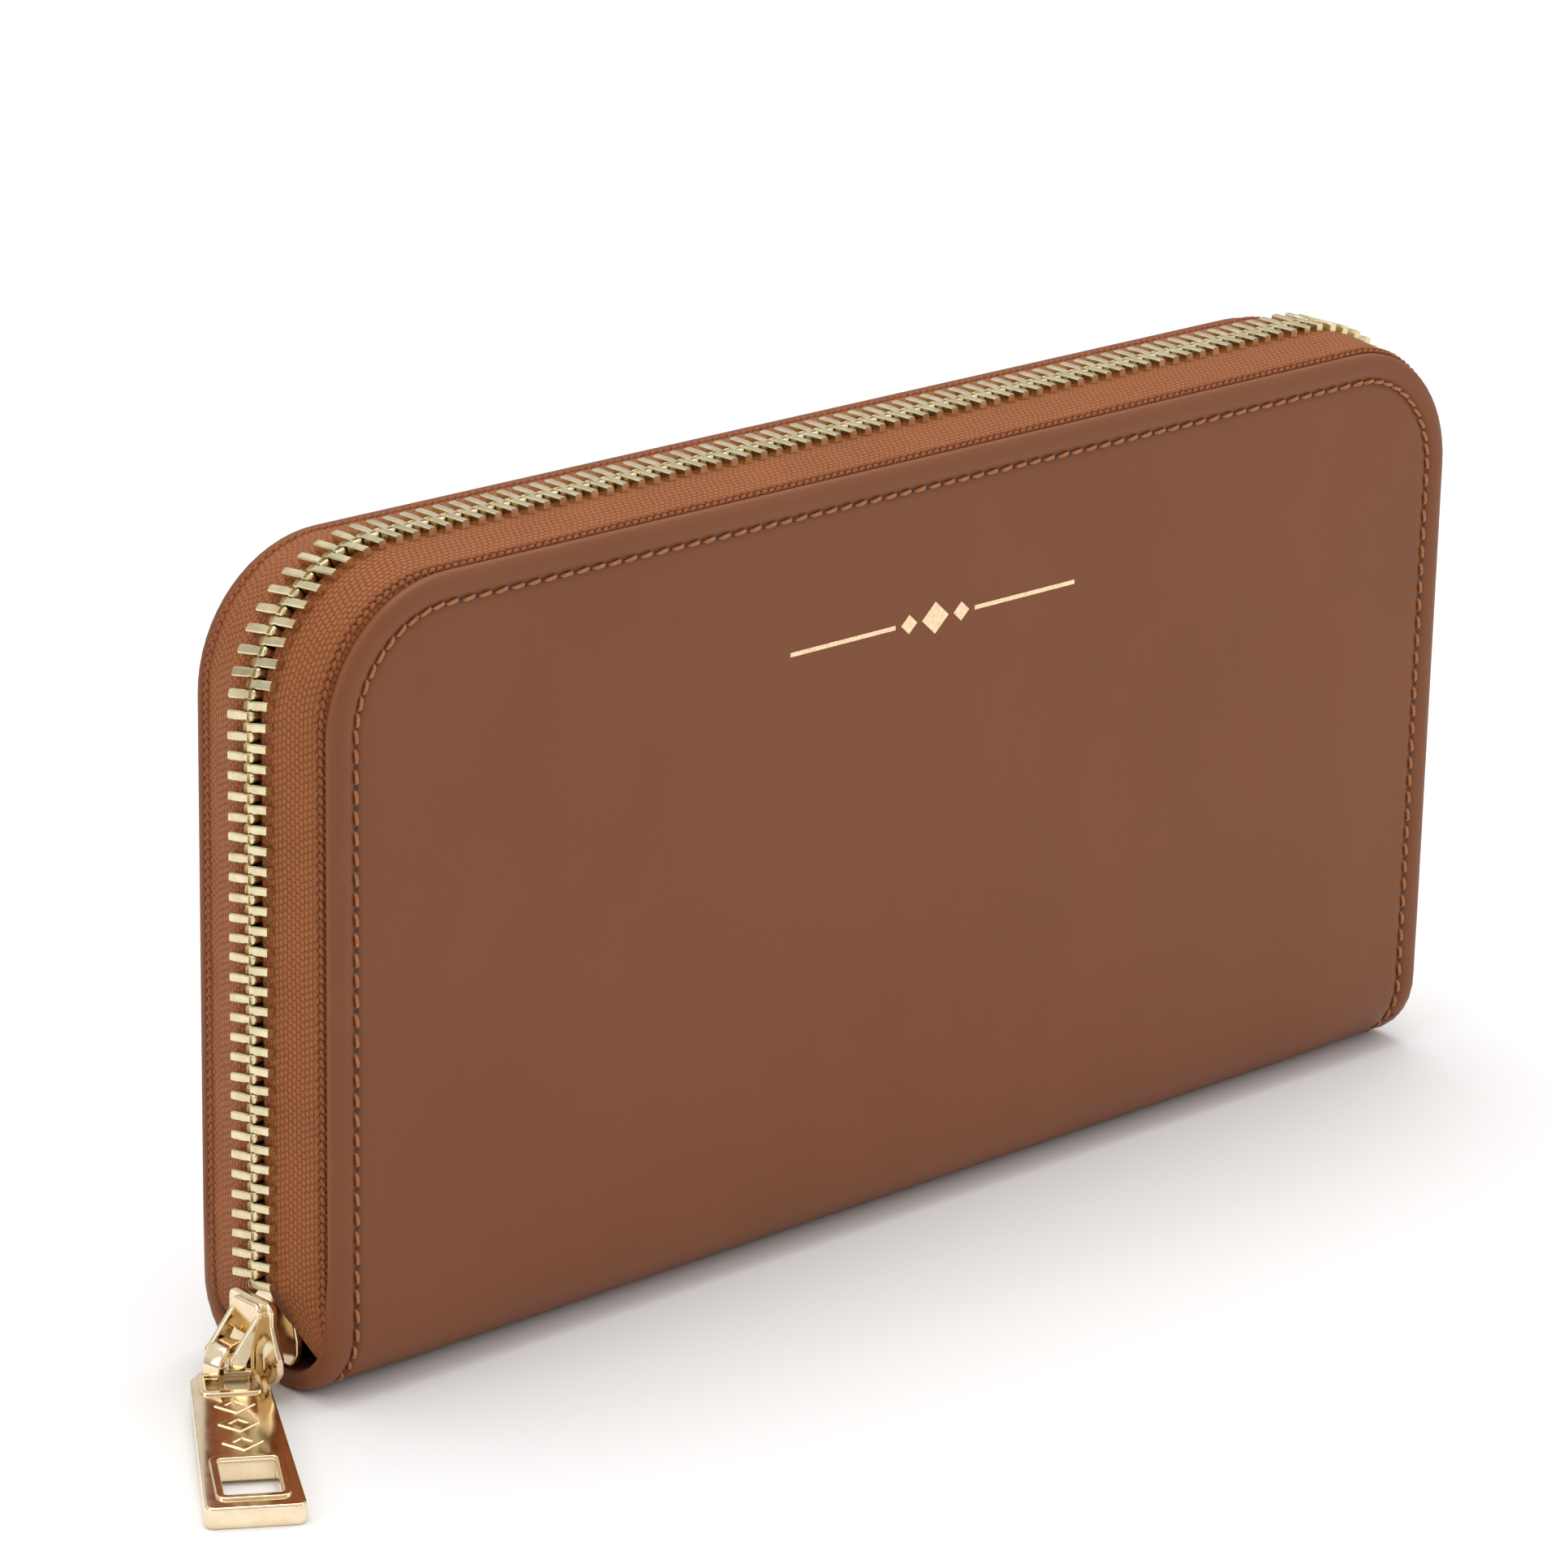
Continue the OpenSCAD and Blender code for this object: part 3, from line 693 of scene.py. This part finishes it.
def slider_pieces():
    """Both plates, a crown on the outer one, and the bail."""
    stand = turn("Z", 90) @ turn("X", 90)
    outer = gold_plate("slider_outer", [slider_outline(3.9, 5.2, 10.0)], PLATE_T, 0.3,
                       place_mm(slider_lo.x + PLATE_T / 2, BAIL_Y, SLIDER_Z) @ stand)
    inner = gold_plate("slider_inner", [slider_outline(3.5, 4.6, 10.0)], PLATE_T, 0.3,
                       place_mm(slider_hi.x - PLATE_T / 2, BAIL_Y / 2, SLIDER_Z + 1) @ stand)
    crown_outline = rounded_loop([(-2.0, 5.6), (2.0, 5.6), (2.6, 9.6), (-2.6, 9.6)], 0.8)
    crown = gold_plate("slider_crown", [crown_outline], 0.9, 0.35,
                       place_mm(slider_lo.x - 0.3, BAIL_Y, SLIDER_Z) @ stand)
    body = joined("slider_shell", [outer, inner, crown])
    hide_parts("slider_body")
    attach(body, "slider")
    plate_x = slider_lo.x
    arm = [(plate_x + 0.2, SLIDER_Z + 8.6), (plate_x - 0.7, SLIDER_Z + 8.3),
           (BAIL_X - 0.2, BAIL_Z + 1.0), (BAIL_X - BAR_DEPTH, BAIL_Z + 0.35),
           (BAIL_X - BAR_DEPTH, BAIL_Z - 0.5), (BAIL_X - 0.2, BAIL_Z - BAR_DEPTH),
           (BAIL_X + 0.9, BAIL_Z - 0.75), (plate_x - 0.6, SLIDER_Z + 6.4), (plate_x + 0.2, SLIDER_Z + 6.4)]
    arms = [gold_plate(f"bail_arm_{i}", [rounded_loop(arm, 0.6)], 0.8, 0.26, place_mm(0, y, 0) @ turn("X", 90))
            for i, y in enumerate((BAIL_Y - BAIL_HALF, BAIL_Y + BAIL_HALF))]
    circle = [(BAR_R * math.cos(2 * PI * i / 24), BAR_R * math.sin(2 * PI * i / 24)) for i in range(24)]
    arms.append(gold_plate("bail_bar", [circle], 2 * BAIL_HALF + 0.6, 0.1,
                           place_mm(BAIL_X, BAIL_Y, BAIL_Z) @ turn("X", 90)))
    bail = joined("bail", arms)
    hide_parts("slider_bail")
    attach(bail, "slider")


RING_YAW = -74.0                    # turn of the ring about the vertical at rest
RING_W, RING_H, BAND_W, BAND_T = 6.3, 6.9, 2.5, 0.8


def ring_piece():
    """The flat-band link."""
    def loop(inset, r):
        w, h = RING_W / 2 - inset, RING_H / 2 - inset
        return rounded_loop(rectangle(-w, w, -h, h), r, 8)
    centre = (ring_lo + ring_hi) / 2
    stand = turn("Z", RING_YAW) @ turn("Z", 90) @ turn("X", 90)
    ring = gold_plate("ring_link", [loop(0, 2.4), loop(BAND_T, 1.6)], BAND_W, 0.18,
                      place_mm(*centre) @ stand)
    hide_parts("pull_ring")
    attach(ring, "ring")


tab_joint = next(j for j in frame["joints"] if j["name"] == "tab_swing")
TAB_YAW, TAB_DROP = -122.3, 2.15    # how the tab lies at rest, in degrees
TAB_PLACE = Matrix.Translation(Vector(tab_joint["pos_m"])) @ turn("Z", TAB_YAW) @ turn("Y", TAB_DROP)
TAB_L, TAB_T = 35.5, 2.8            # length from the joint, and thickness
TAB_HEAD, TAB_END = 4.4, 5.7        # half widths at the ring and at the free end


def tab_pieces():
    """The pull tab: slot and window with raised rims, and a row of raised lozenges."""
    back, corner = -0.75, 2.7
    outer = rounded_loop([(back, corner - TAB_HEAD), (back + corner, -TAB_HEAD), (TAB_L, -TAB_END),
                          (TAB_L, TAB_END), (back + corner, TAB_HEAD), (back, TAB_HEAD - corner)], 0.9)
    slot_end, slot_half = 6.0, 3.15
    window_start, window_end, window_half = TAB_L - 11.9, TAB_L - 2.4, 3.7
    slot = rounded_loop(rectangle(0.75, slot_end, -slot_half, slot_half), 0.9)
    window = rounded_loop(rectangle(window_start, window_end, -window_half, window_half), 0.5)
    parts = [gold_plate("tab_body", [outer, slot, window], TAB_T, 0.32, TAB_PLACE, 4)]
    top = TAB_PLACE @ place_mm(0, 0, TAB_T / 2)

    def rim(name, x0, x1, half, width):
        outside = rounded_loop(rectangle(x0 - width, x1 + width, -half - width, half + width), 1.1)
        inside = rounded_loop(rectangle(x0, x1, -half, half), 0.7)
        return gold_plate(name, [outside, inside], 0.62, 0.17, top)
    parts.append(rim("tab_slot_rim", 1.0, slot_end, slot_half, 0.55))
    parts.append(rim("tab_window_rim", window_start, window_end, window_half, 0.6))
    for i in range(3):
        x = 9.6 + 4.9 * i
        lozenge, hollow = ([(x - k * 2.0, 0), (x, -k * 2.3), (x + k * 2.0, 0), (x, k * 2.3)]
                           for k in (1.0, 0.6))
        parts.append(gold_plate(f"tab_lozenge_{i}", [lozenge, hollow], 0.36, 0.12, top))
    tab = joined("tab_pull", parts)
    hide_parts("pull_tab")
    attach(tab, "tab")


# ---------------------------------------------------------------- foil stamp
def foil_piece():
    """Three lozenges between two thin bars, pressed into the front."""
    lo, hi = (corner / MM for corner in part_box("front_foil_stamp"))
    z = (lo.z + hi.z) / 2
    v = FOLD_V + z - FOLD_R
    parts = []

    def pressed(name, outline):
        x = sum(p[0] for p in outline) / len(outline)
        y = -HALF_T - TURNED_EDGE[-1][1] - cover_bulge(x, v) - 0.01
        parts.append(plate(name, [outline], 0.09, 0.03, place_mm(0, y, z) @ turn("X", 90), FOIL, 1))
    for i in range(-1, 2):
        size = 2.1 if i == 0 else 1.25
        x = 4.6 * i
        pressed(f"foil_lozenge_{i + 1}", [(x - size * 1.1, 0), (x, -size), (x + size * 1.1, 0), (x, size)])
    bar_start, bar_length, overlap, lengths = 7, 18, 0.02, 6
    for side in (-1, 1):
        for k in range(lengths):
            near = bar_start + bar_length * k / lengths
            far = near + bar_length / lengths + overlap
            x0, x1 = sorted((side * near, side * far))
            pressed(f"foil_bar_{side + 1}_{k}", rectangle(x0, x1, -0.27, 0.27))
    foil = joined("foil_ornament", parts)
    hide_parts("front_foil_stamp")
    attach(foil, "front_half")


# ---------------------------------------------------------------- inside
def lining_piece(name, side, half, cad_node):
    """A cover's lining: a leather sheet with a turned hem and a seam round it."""
    lo, hi = (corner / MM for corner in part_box(cad_node))
    middle, thick = (lo.y + hi.y) / 2, hi.y - lo.y

    def outline(inset):
        r = CORNER_R - 3 - inset
        x, top, steps = hi.x - inset, hi.z - inset, 12
        angles = [PI / 2 * k / steps for k in range(steps + 1)]
        right = [(x - r + r * math.cos(a), top - r + r * math.sin(a)) for a in angles]
        left = [(-px, pz) for px, pz in reversed(right)]
        return [(-x, lo.z + inset), (x, lo.z + inset)] + right + left
    layers = [("sheet", [outline(0)], thick - 0.14, middle + side * 0.07, INNER),
              ("hem", [outline(0), outline(5.0)], 0.16, lo.y + 0.08 if side < 0 else hi.y - 0.08, INNER),
              ("seam", [outline(4.2), outline(4.5)], 0.1, lo.y - 0.03 if side < 0 else hi.y + 0.03, THREAD)]
    parts = [plate(f"{name}_{part}", outlines, t, t * 0.35, place_mm(0, y, 0) @ turn("X", 90), material,
                   2) for part, outlines, t, y, material in layers]
    lining = joined(name, parts)
    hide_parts(cad_node)
    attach(lining, half)


def spine_lining_piece():
    """The leather inside the fold, with rounded long edges."""
    lo, hi = (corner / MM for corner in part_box("spine_lining"))
    v_end = FOLD_V + hi.z - FOLD_R
    outer, inner = -1.45, -2.5
    steps = 36
    across = [-v_end + 2 * v_end * i / steps for i in range(steps + 1)]
    section = [(v, outer) for v in across] + [(v_end + 0.2, (outer + inner) / 2)]
    section += [(v, inner) for v in reversed(across)] + [(-v_end - 0.2, (outer + inner) / 2)]
    columns = 60
    verts = []
    for i in range(columns + 1):
        x = lo.x + (hi.x - lo.x) * i / columns
        verts += [on_leather(x, abs(v), n, 1 if v >= 0 else -1) for v, n in section]
    faces = grid_faces(columns + 1, len(section), closed_columns=True, flip=True)
    faces.append(list(range(len(section))))
    last = columns * len(section)
    faces.append([last + i for i in range(len(section))][::-1])
    obj = mesh_piece("spine_lining_leather", verts, faces, INNER, sharp_deg=50)
    merge_close(obj)
    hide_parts("spine_lining")
    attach(obj, "core")


def card_slots(name, side, half, cad_node):
    """Three overlapping rows of card slots in two columns, each with a turned rim and a seam."""
    lo, hi = (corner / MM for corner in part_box(cad_node))
    rows, row_step, gap = 3, 11, 1.0
    depth = (hi.y - lo.y) / rows
    parts = []
    for column in (-1, 1):
        x0, x1 = (lo.x, -gap) if column < 0 else (gap, hi.x)
        for row in range(rows):
            top = hi.z - row_step * row
            y0 = lo.y + row * depth if side > 0 else hi.y - row * depth
            y1 = y0 + side * depth
            outline = rounded_loop(rectangle(x0, x1, lo.z, top), 2.4)
            parts.append(plate(f"{name}_{column + 1}_{row}", [outline], depth, 0.22,
                               place_mm(0, (y0 + y1) / 2, 0) @ turn("X", 90), POCKET))
            seam_y = y1 + side * 0.02
            rim = rectangle(x0 + 1.2, x1 - 1.2, top - 1.9, top - 1.6)
            parts.append(plate(f"{name}_seam_{column + 1}_{row}", [rim], 0.12, 0.04,
                               place_mm(0, seam_y, 0) @ turn("X", 90), THREAD, 1))
    slots = joined(name, parts)
    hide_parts(cad_node)
    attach(slots, half)


def coin_pocket_piece():
    """The folded coin pocket with a rounded bottom, drawn in a little at the middle of its length."""
    lo, hi = (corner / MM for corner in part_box("coin_pocket"))
    wall = 0.75
    verts = []
    half = hi.y
    rows = 40
    profile = []
    for i in range(9):
        a = PI / 2 * i / 8
        profile.append((-half * math.sin(a), lo.z + half - half * math.cos(a)))
    heights = [lo.z + half + (hi.z - lo.z - half) * (i + 1) / 12 for i in range(12)]
    outer = profile + [(-half, z) for z in heights]
    inner = [(max(-half + wall, min(0.0, y * (half - wall) / half)), max(z, lo.z + wall)) for y, z in outer]
    section = outer + inner[::-1]
    full = section + [(-y, z) for y, z in section[::-1]]
    for i in range(rows + 1):
        x = lo.x + (hi.x - lo.x) * i / rows
        squeeze = 1 - 0.06 * math.sin(PI * i / rows) ** 2
        for y, z in full:
            verts.append((x, y * squeeze, z))
    faces = grid_faces(rows + 1, len(full), closed_columns=True)
    obj = mesh_piece("coin_pocket_leather", verts, faces, POCKET, sharp_deg=50)
    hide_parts("coin_pocket")
    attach(obj, "core")


def gusset_piece(name, side, cad_node):
    """Folded side pleats that fan out towards the top."""
    lo, hi = (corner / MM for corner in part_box(cad_node))
    inner_x, outer_x = (hi.x, lo.x) if side < 0 else (lo.x, hi.x)
    verts, faces = [], []
    rows, columns = 12, 13
    near, far = 3.3, hi.y
    for half in (-1, 1):
        first = len(verts)
        for r in range(rows):
            z = lo.z + (hi.z - lo.z) * r / (rows - 1)
            for c in range(columns):
                t = c / (columns - 1)
                fold = math.sin(PI * t) ** 1.4
                reach = (outer_x - inner_x) * (0.72 + 0.28 * r / (rows - 1))
                verts.append((inner_x + reach * fold, half * (near + (far - near) * t), z))
        faces += grid_faces(rows, columns, flip=half * side < 0, first=first)
    obj = mesh_piece(name, verts, faces, POCKET)
    shell = obj.modifiers.new("leather_thickness", "SOLIDIFY")
    shell.thickness = 0.6 * MM
    shell.offset = 0
    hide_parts(cad_node)
    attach(obj, "core")


def coin_zip_pieces():
    """The coin pocket's small coil zip and its tapes."""
    lo, hi = (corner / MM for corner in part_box("coin_zip_chain"))
    coil, coil_faces = [], []
    shape, shape_faces = capsule(2.5, 0.42, sides=6, rings=5)
    end_gap, coil_pitch = 1.0, 1.0
    x = lo.x + end_gap
    while x < hi.x - end_gap:
        points = [(x + across + 0.18 * along, along, (lo.z + hi.z) / 2 + up) for along, across, up in shape]
        add_copy(coil, coil_faces, points, shape_faces)
        x += coil_pitch
    obj = mesh_piece("coin_coil", coil, coil_faces, TEETH)
    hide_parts("coin_zip_chain")
    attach(obj, "core")
    lo, hi = (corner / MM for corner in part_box("coin_zip_tapes"))
    verts, faces, uvs = [], [], []
    rows = 80
    for side in (-1, 1):
        first = len(verts)
        section = [(side * 1.2, hi.z), (side * 1.9, hi.z + 0.05), (side * 2.6, hi.z),
                   (side * 3.1, hi.z - 0.15), (side * 3.1, lo.z), (side * 1.2, lo.z)]
        for i in range(rows + 1):
            x = lo.x + (hi.x - lo.x) * i / rows
            for y, z in section:
                verts.append((x, y, z))
                uvs.append((x * MM, y * MM))
        faces += grid_faces(rows + 1, len(section), closed_columns=True, flip=side > 0, first=first)
    obj = mesh_piece("coin_tape_weave", verts, faces, TAPE, {"weave": uvs})
    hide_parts("coin_zip_tapes")
    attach(obj, "core")


def dress_cad_nodes():
    """Materials for the CAD nodes that keep their own shape."""
    finish = {
        "front_board": BOARD, "back_board": BOARD,
        "zip_end_stop": TEETH, "coin_slider": GOLD, "coin_pull": GOLD,
    }
    for name, material in finish.items():
        mesh = frame["nodes"][name].data
        mesh.materials.clear()
        mesh.materials.append(material)


# ---------------------------------------------------------------- stage, light and camera
def make_stage():
    """A plain white floor under soft studio light."""
    half = 6.0                      # half the floor's width, in metres
    floor_mesh = bpy.data.meshes.new("floor")
    floor_mesh.from_pydata([(x, y, 0) for x, y in rectangle(-half, half, -half, half)], [], [(0, 1, 2, 3)])
    floor = add_object("floor", floor_mesh)
    material, tree, shader = new_material("floor_paper")
    set_inputs(tree, shader, {
        "Base Color": (0.93, 0.93, 0.93, 1), "Roughness": 0.9, "Specular IOR Level": 0.1})
    floor_mesh.materials.append(material)

    bpy.context.scene.view_settings.view_transform = "Standard"
    world = bpy.data.worlds.new("studio")
    bpy.context.scene.world = world
    world.use_nodes = True
    tree = world.node_tree
    direction = node(tree, "ShaderNodeTexCoord").outputs["Generated"]
    height = node(tree, "ShaderNodeSeparateXYZ", {0: direction}).outputs[2]
    set_inputs(tree, tree.nodes["Background"], {
        "Color": (1, 1, 1, 1), "Strength": remap(tree, height, -0.05, 0.6, 0.4, 0.86)})
    aim = Vector((0, 0, 0.05))      # the middle of the wallet's height, in metres

    def softbox(name, place, size_x, size_y, watts):
        light = bpy.data.lights.new(name, "AREA")
        light.shape = "RECTANGLE"
        light.size, light.size_y = size_x, size_y
        light.energy = watts
        obj = add_object(name, light)
        obj.location = place
        obj.rotation_mode = "QUATERNION"
        obj.rotation_quaternion = (aim - Vector(place)).to_track_quat("-Z", "Y")
    softbox("softbox_top", (0.1, 0.15, 1.2), 0.9, 0.9, 7)
    softbox("softbox_left", (-1.1, 0.1, 0.6), 0.5, 0.9, 2.2)
    softbox("softbox_front", (0.9, -1.1, 0.5), 0.6, 0.8, 2.2)


def make_camera():
    """The view of the wallet from its left front, a little above it."""
    yaw, pitch, roll = (math.radians(a) for a in (-43.04, 18.78, 1.2))
    image_px, focal_px, sensor = 1932, 7640, 36
    camera = bpy.data.cameras.new("camera")
    camera.sensor_width = sensor
    camera.lens = sensor * focal_px / image_px
    camera.clip_end = 50
    back = Vector((math.sin(yaw) * math.cos(pitch), -math.cos(yaw) * math.cos(pitch), math.sin(pitch)))
    right = Vector((math.cos(yaw), math.sin(yaw), 0))
    up = back.cross(right)
    right, up = right * math.cos(roll) + up * math.sin(roll), up * math.cos(roll) - right * math.sin(roll)
    obj = add_object("camera", camera)
    place = Matrix((right, up, back)).transposed().to_4x4()
    place.translation = Vector((-527.2, -550.7, 315.1)) * MM
    obj.matrix_world = place
    bpy.context.scene.camera = obj


# ---------------------------------------------------------------- assembly
make_camera()
make_stage()
cover_piece("front_leather", 1, ["front_cover"])
cover_piece("back_leather", -1, ["back_cover", "spine_cover"])
stitch_piece("front_stitches", 1)
stitch_piece("back_stitches", -1)
tape_piece("front_tape", 1, "front_zip_tape")
tape_piece("back_tape", -1, "back_zip_tape")
cord_rows("front_chain_stitch", 1)
cord_rows("back_chain_stitch", -1)
teeth_piece("front_zip_teeth", 1, "front_half", "front_teeth", 0.0)
teeth_piece("back_zip_teeth", -1, "back_half", "back_teeth", 0.5)
slider_pieces()
ring_piece()
tab_pieces()
foil_piece()
spine_lining_piece()
lining_piece("front_lining_sheet", 1, "front_half", "front_lining")
lining_piece("back_lining_sheet", -1, "back_half", "back_lining")
card_slots("front_slots", 1, "front_half", "front_card_slots")
card_slots("back_slots", -1, "back_half", "back_card_slots")
coin_pocket_piece()
gusset_piece("left_pleats", -1, "left_gussets")
gusset_piece("right_pleats", 1, "right_gussets")
coin_zip_pieces()
dress_cad_nodes()

bpy.context.view_layer.update()
